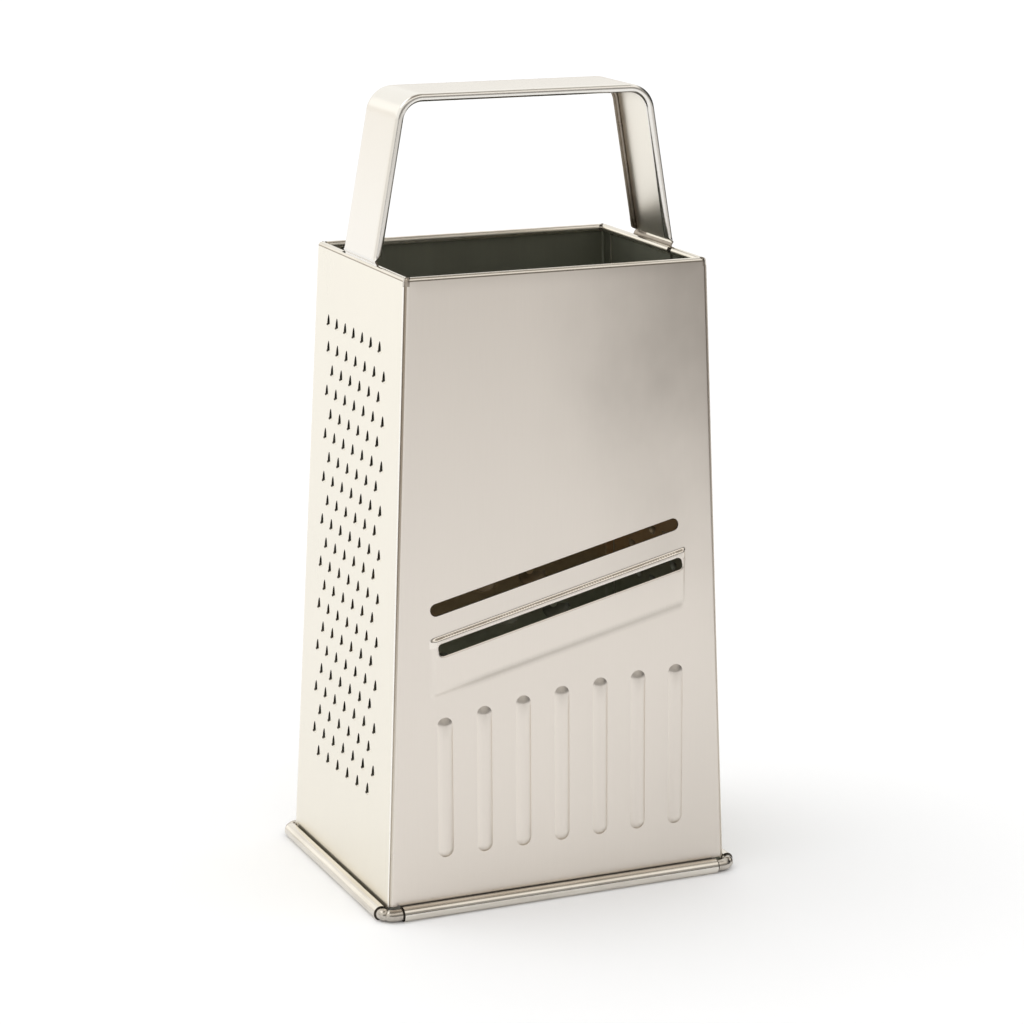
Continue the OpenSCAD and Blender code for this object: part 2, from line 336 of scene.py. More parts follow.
def share_out(piece, side, inset, bent):
    """Gives each face of a sheet the slot of its finish. The first rule that fits it holds."""
    faces = piece.data.polygons
    made = np.array([face.material_index for face in faces])
    x, v, o = side.find(np.array([face.center for face in faces]) * 1000)
    facing = side.find([face.normal for face in faces], turn_only=True)[2]
    edge = side.half(v) - abs(x)
    over_bed = v - side.up(BED_Z) - x * SLOPE
    between = (v > FINISH_V[0]) & (v < side.rise - FINISH_V[1])
    # The curls' inner faces take near-black painted shade
    on_curl = (v < BEAD_R + 0.2) & (abs(x) < side.tab + 0.5) & ((o > 0.05) | (v < 0))
    # Corner tops take grime with painted shade
    corner_top = bent & (edge < inset) & (v > side.rise - RIM_R - 0.1)
    # A thin line at the foot of the rim roll takes the seam's painted shade
    rim_line = (made == FACE) & (abs(v - side.rise - 0.1) < 0.12) & (o > -0.06)
    roll = (v > side.rise - 0.02) & (facing > -0.9)
    # Cut edges inside the holes take near-black painted shade
    cut_hole = (made == SHEARED) & (edge > 1.6) & between
    # Tooth hollows take the inside's finish, darker still as painted shade in the recesses
    hollow = (side is not FRONT) & (made == INNER) & (facing > -0.985) & (edge > 3) & between
    lip = (side is FRONT) & (made == FACE) & (facing < 0.992) & (edge > 3)
    lip &= (over_bed > 5) & (over_bed < 8.5)
    # The inner part of each bend takes the seam's painted shade
    bend = bent & (made == FACE) & (edge < inset - CORNER_R * SEAM_SHARE) & (o < -0.02)
    # Raw edges of the unbent sides take the burnished finish, whose brighter colour is a painted highlight
    raw_edge = (not bent) & (made == FACE) & (edge < inset)
    rules = ((on_curl & (made == INNER), ROLLED), (on_curl, SHADED_BLACK), (corner_top, GRIME_SHADE_AND_SHEEN), (rim_line, SEAM),
             (roll, ROLLED), (cut_hole, SHADED_BLACK), (hollow | lip, PRESSED), (bend, SEAM), (raw_edge, GRIME_SHADE_AND_SHEEN))
    slots = np.select([where for where, slot in rules], [slot for where, slot in rules], made)
    for face, slot in zip(faces, slots):
        face.material_index = int(slot)


def foot_cuts(side, inset):
    """Where the roll is cut for the strap's feet, as shares of the flat's half width."""
    reach = side.half(side.rise) - inset
    return [-(FOOT_SLOT + FOOT_RELIEF) / reach, -FOOT_SLOT / reach, FOOT_SLOT / reach]


def rim_roll(skin, side, inset, columns, slotted):
    """The sheet's upper edge, rolled inwards round the rim wire and mitred at its ends.

    The straight share of its columns stays in line with the flat, and the rest is drawn in.
    """
    open_at, shut_at = (math.acos(1 - deep / RIM_R) for deep in SLOT_DEEP)
    turn = np.concatenate([steps(0, open_at, 0.13), steps(open_at, shut_at, 0.13)[1:],
                           steps(shut_at, math.radians(270), 0.14)[1:]])
    reach = side.half(side.rise) - inset
    straight = 0.8
    rows = []
    for t in turn:
        deep = RIM_R * (1 - math.cos(t))
        end = min(reach, side.rim / 2 - RIM_GAP / math.sqrt(2) - deep)
        if not slotted:
            end -= (ROLL_INSET - CORNER_R - SHEET) * smooth(0.3, 1.2, t)
        drawn = straight * reach + (abs(columns) - straight) / (1 - straight) * (end - straight * reach)
        x = np.where(abs(columns) > straight, np.sign(columns) * drawn, columns * reach)
        rows.append(side.place(np.column_stack([
            x, np.full(len(x), side.rise + RIM_R * math.sin(t)), np.full(len(x), -deep)])))
    xs = columns * reach

    def keep(i, j):
        if not slotted or turn[i] < open_at - 1e-6:
            return True
        mid = (xs[j] + xs[j + 1]) / 2
        if abs(mid) < FOOT_SLOT:
            return turn[i] > shut_at - 1e-6
        return not -FOOT_SLOT - FOOT_RELIEF < mid < -FOOT_SLOT

    skin.grid(rows, keep)


def foot_curl(skin, side, columns):
    """The sheet's lower edge, curled outwards round the foot wire. The skin is its inner face."""
    tab = side.tab
    turn = steps(math.pi, 3 * math.pi - BEAD_OPEN, 0.13)
    rows = []
    for t in turn[::-1]:
        o = WIRE_R + WIRE_R * math.cos(t)
        v = WIRE_R * math.sin(t)
        rows.append(side.place(np.column_stack([
            columns * tab, np.full(len(columns), v), np.full(len(columns), o)])))
    skin.grid(rows)


def upright_bends(skin, side, inset, rows, radius, angle, flange):
    """The bends at both upright edges, and the flanges that lap behind the next sides."""
    turn = steps(0, angle, 0.2)
    for m in (-1, 1):
        lines = []
        for x, v in zip(uneven(side.half(rows) - inset), rows):
            line = [(x + radius * math.sin(t), radius * (math.cos(t) - 1)) for t in turn]
            if flange:
                line += [(x + radius, -o) for o in steps(radius, flange, 1.0)[1:]]
            lines.append(side.place([(m * p, v, o) for p, o in line]))
        skin.grid(lines if m > 0 else [line[::-1] for line in lines])
        if flange:
            corner_dome(skin, side, inset, uneven(side.half(rows) - inset)[-1], rows[-1], m)


def corner_dome(skin, side, inset, start, v, m):
    """The crumpled sheet over a corner, between the ends of the two rim rolls."""
    lines = []
    for up, e in [(0, 0), (0.6, 0)] + [(side.rise - v, e) for e in np.linspace(0, 1.3, 7)]:
        x = start + float(side.half(v + up) - side.half(v))
        line = []
        for t in np.linspace(0, math.pi / 2, 9):
            r = CORNER_R * (1 + 0.07 * math.sin(7.0 * t + 2 * m) * math.sin(4.0 * e))
            line.append((m * (x + r * math.cos(e) * math.sin(t)), v + up + r * math.sin(e),
                         r * math.cos(e) * math.cos(t) - CORNER_R))
        lines.append(side.place(line))
    skin.grid(lines if m > 0 else [line[::-1] for line in lines])


def thicken(name, skin, thickness, level=True, sharp=40):
    """Turns a skin into a sheet. Its new face lies on the back of the skin."""
    shell = bpy.data.objects.new(name, skin.mesh(name))
    bpy.context.scene.collection.objects.link(shell)
    solid = shell.modifiers.new("thickness", "SOLIDIFY")
    solid.thickness = thickness * 0.001
    solid.offset = -1
    solid.use_even_offset = True
    solid.use_quality_normals = True
    solid.material_offset = INNER
    solid.material_offset_rim = SHEARED
    for _ in range(8):
        shell.data.materials.append(None)
    graph = bpy.context.evaluated_depsgraph_get()
    mesh = bpy.data.meshes.new_from_object(shell.evaluated_get(graph))
    shell.modifiers.clear()
    shell.data = mesh
    if level:
        for p in mesh.vertices:
            p.co.z = max(p.co.z, 0.0)
    for f in mesh.polygons:
        f.use_smooth = True
    mesh.set_sharp_from_angle(angle=math.radians(sharp))
    return shell


# The slicing side


def sloped(x, v, along, across):
    """A point given along and across the slope, from a centre at x and v."""
    c = math.cos(math.atan(SLOPE))
    s = math.sin(math.atan(SLOPE))
    return x + along * c - across * s, v + along * s + across * c


def slot_loop(slot, grow=0.0):
    """The outline of a slot with rounded corners, grown by some distance."""
    x, z, length, width, r = slot
    loop = []
    a, b = length / 2 - r, width / 2 - r
    for q, (sx, sy) in enumerate([(1, -1), (1, 1), (-1, 1), (-1, -1)]):
        for t in np.linspace(-90 + 90 * q, 90 * q, 9):
            t = math.radians(t)
            loop.append((sx * a + (r + grow) * math.cos(t), sy * b + (r + grow) * math.sin(t)))
        if q in (1, 3):
            run = steps(-a, a, 0.8)[1:-1] * (-1 if q == 1 else 1)
            edge = uneven(np.full(len(run), b + r + grow)) * (1 if q == 1 else -1)
            loop.extend(zip(run, edge))
    return [sloped(x, FRONT.up(z), p, q) for p, q in loop]


def slot_distance(slot, px, pv):
    """Distance outside a slot's outline, and below 0 inside it."""
    x, z, length, width, r = slot
    angle = math.atan(SLOPE)
    dx, dv = px - x, pv - FRONT.up(z)
    p = abs(dx * math.cos(angle) + dv * math.sin(angle)) - (length / 2 - r)
    q = abs(-dx * math.sin(angle) + dv * math.cos(angle)) - (width / 2 - r)
    return np.hypot(np.maximum(p, 0), np.maximum(q, 0)) + np.minimum(np.maximum(p, q), 0) - r


def rib_line(i):
    """The x of rib i and the v of its upper and lower end."""
    top = 53.9 + 1.95 * i - 0.14 * i * i
    x = (i - 3) * RIB_PITCH + RIB_SHIFT
    return x, FRONT.up(top), FRONT.up(RIB_FOOT_Z)


def rib_distance(i, x, v):
    """Distance from the middle line of rib i."""
    rx, top, low = rib_line(i)
    r = RIB_W / 2
    return np.hypot(x - rx, v - np.clip(v, low + r, top - r))


def front_relief(x, v):
    """How far the slicing side's face stands out: its bed, the lower slot's lip and the ribs.

    The bed rises up its slope and has a soft lower edge, a sharper step above and two ends.
    """
    b = v - FRONT.up(BED_Z) - x * SLOPE
    h = BED_LOW + (BED_H - BED_LOW) * np.clip((b + BED_HALF) / (2 * BED_HALF - 1.6), 0, 1)
    h *= smoother(-BED_HALF - 1.1, 0.7 - BED_HALF, b) * (1 - smoother(-1.5, -0.05, b - BED_HALF))
    h *= smoother(BED_X[0] - 1.2, BED_X[0] + 1.4, x) * (1 - smoother(-1.1, 0.3, x - BED_X[1]))
    near = slot_distance(LOWER_SLOT, x, v)
    h -= LIP_FALL * np.clip(LIP_W - near, 0, LIP_W)
    for i in range(7):
        r = rib_distance(i, x, v) / (RIB_W / 2)
        cap = smooth(-1.2, 1.8, v - rib_line(i)[1] + RIB_W / 2)
        crest = RIB_H * (0.66 + 0.34 * smooth(-0.5, 6.5, rib_line(i)[1] - v))
        h += crest * np.clip(1 - np.minimum(r, 1) ** (2 - 0.4 * cap), 0, 1)
    return h


def front_points():
    """Where the slicing side's net has its points: close together on the relief."""
    pts = []
    far = FRONT.up(BED_Z)
    for v in steps(1.5, FRONT.rise - 0.6, 3.0):
        pts.extend([(x, v) for x in steps(-48, 48, 3.0)])
    pts = [p for p in pts if abs(p[1] - far - p[0] * SLOPE) > 11.5 or p[1] > far + 30]
    pts = [p for p in pts if all(rib_distance(i, *p) > 3.4 for i in range(7))]
    pts = [p for p in pts if slot_distance(UPPER_SLOT, *p) > 2.0]
    xs = np.concatenate([steps(-38.6, -33.9, 0.3), steps(-33.4, 34.4, 0.75), steps(34.8, 38.2, 0.22)])
    bs = np.concatenate([steps(-10, -6.4, 0.24), steps(-6, 1.0, 0.8), steps(6.0, 8.6, 0.13)])
    grid = [(x, far + b + x * SLOPE) for x in xs for b in bs]
    ends = np.concatenate([steps(-38.6, -34.4, 0.3), steps(34.8, 38.4, 0.22)])
    grid += [(x, far + b + x * SLOPE) for x in ends for b in steps(1.4, 5.6, 0.4)]
    pts += [p for p in grid if slot_distance(LOWER_SLOT, *p) > 0.25]
    for grow in (0.1, 0.2, 0.3, 0.34, 0.45, 0.65, 0.9, 1.2):
        pts += slot_loop(LOWER_SLOT, grow)
    for grow in (0.3, 0.8, 1.5):
        pts += slot_loop(UPPER_SLOT, grow)
    radii = np.array([0, 0.25, 0.5, 0.7, 0.84, 0.93, 0.98, 1.0, 1.04, 1.2, 1.45]) * RIB_W / 2
    for i in range(7):
        x, top, low = rib_line(i)
        top, low = top - RIB_W / 2, low + RIB_W / 2
        for v in steps(low, top, 1.2):
            pts += [(x + m * r, v) for r in radii for m in (-1, 1) if m > 0 or r > 0]
        for r in radii[1:]:
            for t in np.linspace(0, math.pi, 17)[1:-1]:
                pts += [(x + r * math.cos(t), top + r * math.sin(t)),
                        (x + r * math.cos(t), low - r * math.sin(t))]
    return pts


# The grating sides

# Radius, height, mouth, how pointed the mouth is and how many points its edge has
FINE_TOOTH = (0.95, 0.5, 2.5, 0.5, 11)
MEDIUM_TOOTH = (2.4, 1.2, 0.35, 0.5, 13)
COARSE_TOOTH = (4.3, 1.9, 0.45, 0.5, 19)

# Rows of fine teeth
FINE_ROWS = 20
FINE_COUNT = 7
FINE_FIRST = (149.9, FINE_COUNT, 6.25, -2.5)
FINE_TOP_Z = 142.75
FINE_PITCH = 5.98
FINE_DRAW = 0.0018
FINE_SHARE = 0.21
FINE_SHIFT = -0.45
FINE_TURN = 0.002
FINE_TILT = 0.014

# Rows of the other teeth: how many, teeth in a row, the top row's z, the pitch and the spacing as a
# share of the sheet's width
MEDIUM_ROWS = (16, 6, 148, 7.4, 0.127)
COARSE_ROWS = (11, 5, 146, 10.8, 0.16)


class Teeth:
    """A field of teeth. Each is a dome's lower half, with its cutting edge facing up."""

    def __init__(self, places, radius, height, mouth, point, spans):
        self.places = np.asarray(places, float)
        self.radius = radius
        self.height = height
        self.mouth = mouth
        self.point = point
        self.spans = spans

    def loop(self, place):
        """The mouth's outline: the tooth's edge below, and the cut in the sheet above."""
        x = np.linspace(-1, 1, self.spans)
        tall = self.mouth > self.radius
        sag = 0.55 * self.radius if tall else 0.0
        low = [(place[0] + t * self.radius, place[1] - sag * (1 - t * t)) for t in x]
        if not tall:
            return low + [(place[0] + t * self.radius, place[1] + self.mouth * (1 - abs(t)) ** self.point)
                          for t in x[::-1][1:-1]]
        up = np.linspace(0, 1, self.spans)[1:-1]
        wide = self.radius * (1 - up) ** self.point * (1 + 0.12 * np.sin(up * math.pi))
        right = [(place[0] + w, place[1] + self.mouth * u) for w, u in zip(wide, up)]
        left = [(place[0] - w, place[1] + self.mouth * u) for w, u in zip(wide, up)]
        return low + right + [(place[0], place[1] + self.mouth)] + left[::-1]

    def points(self):
        """The net's points round each tooth's edge."""
        out = []
        for x, v in self.places:
            for r in (0.3, 0.55, 0.75, 0.88, 0.97, 1.06, 1.25):
                n = max(7, int(self.spans * min(1, r + 0.3)))
                for t in np.linspace(math.pi, 2 * math.pi, n)[1:-1]:
                    out.append((x + self.radius * r * math.cos(t), v + self.radius * r * math.sin(t)))
                if r > 1:
                    out += [(x + m * self.radius * r, v) for m in (-1, 1)]
        return out

    def relief(self, x, v):
        """How far the teeth stand out of the sheet."""
        h = np.zeros(len(x))
        a = self.radius
        for px, pv in self.places:
            near = np.nonzero((abs(x - px) < 1.5 * a) & (abs(v - pv) < 1.5 * a))[0]
            if not len(near):
                continue
            dx, dv = x[near] - px, v[near] - pv
            r = np.hypot(dx, dv) / a
            dome = self.height * np.clip(1 - r * r, 0, 1) ** 0.6
            dome *= dv < 1e-4
            h[near] = np.maximum(h[near], dome)
        return h


def field(side, rows, n, top_z, pitch, share):
    """Staggered rows of teeth, with one tooth fewer in every second row."""
    out = []
    for i in range(rows):
        v = side.up(top_z - i * pitch)
        k = n - i % 2
        step = share * 2 * float(side.half(v))
        out += [((j - (k - 1) / 2) * step, v) for j in range(k)]
    return out


def fine_row(i, z, k, step, shift):
    """Row i of the fine teeth. The rows turn slowly from falling to rising down the sheet."""
    places = [shift + (j - (k - 1) / 2) * step for j in range(k)]
    return [(x, LEFT.up(z) + (FINE_TURN * i - FINE_TILT) * x) for x in places]


def fine_field():
    """Every place of a fine tooth: a wider first row, then rows that draw together a little."""
    rows = fine_row(0, *FINE_FIRST)
    for i in range(FINE_ROWS):
        z = FINE_TOP_Z - FINE_PITCH * i + FINE_DRAW * i * i
        step = FINE_SHARE * float(LEFT.half(LEFT.up(z)))
        rows += fine_row(i, z, FINE_COUNT - i % 2, step, FINE_SHIFT)
    return rows


def side_points(side, teeth):
    """Points of a grating side's net: coarse on the plain sheet, and each tooth's own."""
    pts = []
    for v in steps(1.5, side.rise - 0.6, 2.4):
        pts.extend([(x, v) for x in steps(-48, 48, 2.4)])
    pts = np.asarray(pts)
    for px, pv in teeth.places:
        pts = pts[np.hypot(pts[:, 0] - px, pts[:, 1] - pv) > 1.5 * teeth.radius]
    return np.concatenate([pts, teeth.points()])


def grating_piece(name, side, places, tooth, bent):
    """A grating side with a tooth of the given size at each place."""
    teeth = Teeth(places, *tooth)
    holes = [teeth.loop(p) for p in teeth.places]
    return sheet_piece(name, side, holes, side_points(side, teeth), teeth.relief, 0.05 * teeth.radius, bent)


# Wires and strap


def wire_frame(name, width, depth, bend, radius, height, pinch, lead):
    """A closed wire with four bends, each pinched at its middle. Straight runs get slot 1.

    lead is how far the bends' own finish runs on along the front and back runs.
    """
    path = []
    for q in range(4):
        cx = (width / 2 - bend) * (1 if q in (0, 3) else -1)
        cy = (depth / 2 - bend) * (1 if q in (0, 1) else -1)
        arc = []
        for t in np.linspace(0, math.pi / 2, 17):
            a = t + q * math.pi / 2
            arc.append((cx + bend * math.cos(a), cy + bend * math.sin(a), a, t - math.pi / 4))
        x, y, a, off = arc[0] if q in (1, 3) else arc[-1]
        start = (x - math.copysign(lead, x), y, a, off)
        path += [start] + arc if q in (1, 3) else arc + [start]
    rows = []
    for x, y, a, off in path:
        squeeze = 1 - pinch * math.exp(-((off / 0.09) ** 2))
        ring = []
        for p in np.linspace(0, 2 * math.pi, 28, endpoint=False):
            r = radius * (1 - (1 - squeeze) * (0.5 - 0.5 * math.cos(p - math.pi * 1.2)))
            ring.append((x + r * math.cos(p) * math.cos(a), y + r * math.cos(p) * math.sin(a),
                         height + r * math.sin(p)))
        rows.append(ring)
    rows.append(rows[0])
    skin = Skin()
    skin.grid(rows, closed=True)
    piece = bpy.data.objects.new(name, skin.mesh(name, 60))
    bpy.context.scene.collection.objects.link(piece)
    for slot in range(2):
        piece.data.materials.append(None)
    for face in piece.data.polygons:
        x, y = abs(face.center.x) * 1000, abs(face.center.y) * 1000
        if min(x - width / 2, y - depth / 2) < -bend - 2 * lead:
            face.material_index = 1
    return piece


def strap_path():
    """The strap's outer line from foot to foot: x, z, the normal's angle and the height over the knee."""
    hip_x = RIGHT.start_y - RIGHT.up(HIP_Z) * math.sin(RIGHT.lean) - (SHEET + PLAY) * math.cos(RIGHT.lean)
    knee_x = hip_x + JOG
    crown_z = TOTAL_H - STRAP_BEND
    crown_x = knee_x - STRAP_BEND / math.cos(STRAP_LEAN) - (crown_z - KNEE_Z) * math.tan(STRAP_LEAN)

    def line(z):
        low = hip_x - (z - HIP_Z) * math.tan(RIGHT.lean)
        high = knee_x - (z - KNEE_Z) * math.tan(STRAP_LEAN)
        return low + (high - low) * float(smooth(HIP_Z - 0.2, KNEE_Z + 0.2, z))

    half = []
    foot, jog, leg = (steps(HIP_Z - FOOT_L, HIP_Z - 1.5, 1.5), steps(HIP_Z - 0.6, KNEE_Z + 2.6, 0.2),
                      steps(KNEE_Z + 3.4, crown_z + 0.6, 1.6))
    for z in np.concatenate([foot, jog, leg]):
        slope = (line(z + 0.01) - line(z - 0.01)) / 0.02
        half.append((line(z), z, -math.atan(slope), z - KNEE_Z))
    for t in np.linspace(STRAP_LEAN, math.pi / 2, 25):
        half.append((crown_x + STRAP_BEND * math.cos(t), crown_z + STRAP_BEND * math.sin(t), t, 99.0))
    for x in steps(crown_x - 1.5, 0, 3.0):
        half.append((x, TOTAL_H, math.pi / 2, 99.0))
    rest = [(-x, z, math.pi - t, s) for x, z, t, s in half[:-1]]
    return half + rest[::-1]


def strap_piece():
    """The strap, with its long edges rolled in. The rolls open out and end above the knees."""
    skin = Skin()
    mid = STRAP_W / 2 - HEM_R
    web = steps(-mid, mid, 1.5)
    turn = np.linspace(0, math.pi, 15)[1:]
    path = strap_path()
    rows = []
    for x, z, t, s in path:
        k = float(smooth(-0.5, 1.5, s))
        hem = [(mid + HEM_R * ((1 - k) * min(p / (math.pi / 2), 1) + k * math.sin(p)),
                -HEM_R * k * (1 - math.cos(p))) for p in turn]
        line = [(-y, o) for y, o in hem[::-1]] + [(y, 0.0) for y in web] + hem
        nx, nz = math.cos(t), math.sin(t)
        rows.append([(x + o * nx, y, z + o * nz) for y, o in line])
    m, n = len(rows[0]), len(turn) // 2

    def keep(i, j):
        return min(path[i][3], path[i + 1][3]) > 0.1 or n <= j < m - 1 - n

    skin.grid(rows, keep)
    piece = thicken("strap", skin, STRAP_T, level=False, sharp=35)
    for face in piece.data.polygons:
        if face.material_index != INNER:
            continue
        y, z = face.center.y * 1000, face.center.z * 1000
        # Below the hips the strap takes the inside's painted shade
        if z < HIP_Z - 1.3:
            face.material_index = PRESSED
        # Hem insides and the jog take grime with painted shade
        elif abs(y) > mid - 0.02 and z > KNEE_Z or z < KNEE_Z + (0.4 if y > 4.5 else -0.4):
            face.material_index = GRIME_SHADE_AND_SHEEN
    return piece


# Finishes


class Value:
    """A socket in a material's nodes, with the sums that are used on it."""

    def __init__(self, tree, socket):
        self.tree = tree
        self.socket = socket

    def sum_node(self, operation, other):
        """One sum of this value and a value or a number."""
        node = self.tree.nodes.new("ShaderNodeMath")
        node.operation = operation
        for i, value in enumerate((self, other)):
            if isinstance(value, Value):
                self.tree.links.new(value.socket, node.inputs[i])
            else:
                node.inputs[i].default_value = value
        return Value(self.tree, node.outputs[0])

    def __add__(self, other):
        return self.sum_node("ADD", other)

    __radd__ = __add__

    def __mul__(self, other):
        return self.sum_node("MULTIPLY", other)

    __rmul__ = __mul__

    def __sub__(self, other):
        return self.sum_node("SUBTRACT", other)

    def __rsub__(self, other):
        return (self * -1.0) + other


class Finish:
    """A new material and the nodes that make its look."""

    def __init__(self, name):
        self.material = bpy.data.materials.new(name)
        self.material.use_nodes = True
        self.tree = self.material.node_tree
        self.tree.nodes.clear()
        self.end = self.tree.nodes.new("ShaderNodeOutputMaterial")

    @classmethod
    def on(cls, tree):
        """The same helpers on a tree that exists, such as the world's."""
        finish = cls.__new__(cls)
        finish.tree = tree
        return finish

    def step(self, value, low, high):
        """0 at low, 1 at high, and a soft step between. low may be above high."""
        node = self.node("ShaderNodeMapRange", {"interpolation_type": "SMOOTHSTEP"}, Value=value)
        ends = (low, high, 0.0, 1.0) if low < high else (high, low, 1.0, 0.0)
        for key, end in zip(("From Min", "From Max", "To Min", "To Max"), ends):
            node.inputs[key].default_value = end
        return self.out(node)

    def node(self, kind, settings=None, **sockets):
        """Adds a node, sets its settings and then links or fills its sockets."""
        node = self.tree.nodes.new(kind)
        for key, value in (settings or {}).items():
            if key == "stops":
                ramp = node.color_ramp
                while len(ramp.elements) > 1:
                    ramp.elements.remove(ramp.elements[-1])
                ramp.elements[0].position = value[0][0]
                ramp.elements[0].color = value[0][1]
                for place, colour in value[1:]:
                    ramp.elements.new(place).color = colour
            else:
                setattr(node, key, value)
        for key, value in sockets.items():
            socket = node.inputs[key.replace("_", " ")]
            if isinstance(value, Value):
                self.tree.links.new(value.socket, socket)
            else:
                socket.default_value = value
        return node

    def out(self, node, name=0):
        """One of a node's outputs, as a value."""
        return Value(self.tree, node.outputs[name])

    def place(self):
        """The point on the object, in metres."""
        return self.out(self.node("ShaderNodeTexCoord"), "Object")

    def stretched(self, scale):
        """The point on the object, scaled along each axis."""
        return self.out(self.node("ShaderNodeMapping", Vector=self.place(), Scale=scale))

    def noise(self, scale, stretch, detail=3.0):
        """Noise on the object's own places, stretched along some axes."""
        return self.out(self.node("ShaderNodeTexNoise", Vector=self.stretched(stretch), Scale=scale,
                                  Detail=detail, Roughness=0.55))

    def mix(self, share, first, second):
        """The second colour over the first, by share."""
        node = self.tree.nodes.new("ShaderNodeMix")
        node.data_type = "RGBA"
        sockets = node.inputs[0], node.inputs[6], node.inputs[7]
        for socket, value in zip(sockets, (share, first, second)):
            if isinstance(value, Value):
                self.tree.links.new(value.socket, socket)
            else:
                socket.default_value = value
        return Value(self.tree, node.outputs[2])

    def close(self, shader):
        """Ends the material with its shader."""
        self.tree.links.new(shader.outputs[0], self.end.inputs["Surface"])
        return self.material


def shade_on_slicing_side(f, colour, fine, cloud, shade_strength):
    """Painted shade: darkens the slicing side towards its upper right and low down on its right, and along
    the crease under the bed.
    """
    spot = f.node("ShaderNodeSeparateXYZ", Vector=f.place())
    x, z = f.out(spot, "X"), f.out(spot, "Z")
    across = f.step(x + (cloud - 0.5) * 0.03, -0.012, 0.055)
    rise = f.step(z + (cloud - 0.5) * 0.05, 0.06, 0.185)
    low = f.step(z, 0.07, 0.015)
    # Painted shade towards the upper right, and low down on the right
    painted_shade = (across * 0.97 + 0.03) * rise * shade_strength + across * (low * 0.11 + 0.035)
    colour = f.mix(painted_shade, colour, (0.20, 0.175, 0.15, 1.0))
    # Painted shade along the crease under the bed
    along = z - x * SLOPE + (fine - 0.5) * 0.0004
    crease_shade = f.step(along, 0.0668, 0.0686) * f.step(along, 0.0706, 0.0688)
    crease_shade = crease_shade * f.step(x, -0.037, -0.02) * f.step(x, 0.0375, 0.0355)
    return f.mix(crease_shade * 0.45, colour, (0.42, 0.385, 0.34, 1.0))


def brushed_steel(name, light, dark, rough, shade_strength=0.0):
    """Satin steel: fine upright grain, soft cloudy patches and a little wear in its gloss.

    The last argument is the strength of the painted shade on the slicing side, for that side alone.
    """
    f = Finish(name)
    fine = f.noise(2600.0, (1.0, 1.0, 0.02), 2.0)
    cloud = f.noise(34.0, (1.0, 1.0, 0.7), 4.0)
    colour = f.mix((fine - 0.5) * 0.35 + (cloud - 0.5) * 0.6 + 0.5, dark, light)
    if shade_strength:
        colour = shade_on_slicing_side(f, colour, fine, cloud, shade_strength)
    gloss = (fine - 0.5) * 0.08 + (cloud - 0.5) * 0.10 + rough
    bump = f.node("ShaderNodeBump", Strength=0.009, Distance=0.0004, Height=fine)
    shader = f.node("ShaderNodeBsdfPrincipled", Base_Color=colour, Metallic=1.0, Roughness=gloss,
                    Normal=f.out(bump))
    return f.close(shader)


def rolled_edge(name):
    """A curled edge, burnished by the rollers, with faint lines along it."""
    f = Finish(name)
    along = f.noise(1500.0, (0.04, 0.04, 1.0), 3.0)
    spots = f.noise(90.0, (1.0, 1.0, 1.0), 3.0)
    colour = f.mix((along - 0.5) * 0.9 + (spots - 0.5) * 0.5 + 0.5,
                   (0.60, 0.555, 0.49, 1.0), (0.92, 0.885, 0.82, 1.0))
    bump = f.node("ShaderNodeBump", Strength=0.03, Distance=0.0003, Height=along)
    shader = f.node("ShaderNodeBsdfPrincipled", Base_Color=colour, Metallic=1.0,
                    Roughness=(spots - 0.5) * 0.1 + 0.15, Normal=f.out(bump))
    return f.close(shader)


def dark_inside(name, tone=1.0):
    """The inner face: dull steel in dark olive, painted as the shade inside the body; paler low down, and
    browner in a sloping band at the slots' height.
    """
    f = Finish(name)
    cloud = f.noise(30.0, (1.0, 1.0, 0.4), 4.0)
    streak = f.noise(900.0, (1.0, 1.0, 0.03), 2.0)

    def shade(red, green, blue):
        return red * tone, green * tone, blue * tone, 1.0

    # Dark olive: painted shade inside the closed body
    colour = f.mix((cloud - 0.5) * 0.9 + (streak - 0.5) * 0.15 + 0.5,
                   shade(0.25, 0.255, 0.21), shade(0.45, 0.46, 0.38))
    spot = f.node("ShaderNodeSeparateXYZ", Vector=f.place())
    x, y, z = (f.out(spot, way) for way in "XYZ")
    band = z - x * SLOPE + y * 0.383
    brown_band = f.step(band, 0.0725, 0.0745) * f.step(band, 0.105, 0.095)
    colour = f.mix(f.step(z, 0.11, 0.05) * 0.5, colour, shade(0.8, 0.81, 0.69))
    colour = f.mix(brown_band, colour, shade(0.76, 0.58, 0.39))
    bump = f.node("ShaderNodeBump", Strength=0.02, Distance=0.0003, Height=streak)
    shader = f.node("ShaderNodeBsdfPrincipled", Base_Color=colour, Metallic=1.0,
                    Roughness=(cloud - 0.5) * 0.1 + 0.5, Normal=f.out(bump))
    return f.close(shader)


def drawn_wire(name, dark, light, rough):
    """Plain drawn wire or a bare cut: a little tan, with faint grime. Made dark, it also serves as painted
    shade.
    """
    f = Finish(name)
    grime = f.noise(420.0, (1.0, 1.0, 1.0), 4.0)
    colour = f.mix((grime - 0.5) * 1.4 + 0.5, dark, light)
    bump = f.node("ShaderNodeBump", Strength=0.12, Distance=0.0002, Height=grime)
    shader = f.node("ShaderNodeBsdfPrincipled", Base_Color=colour, Metallic=1.0,
                    Roughness=(grime - 0.5) * 0.2 + rough, Normal=f.out(bump))
    return f.close(shader)


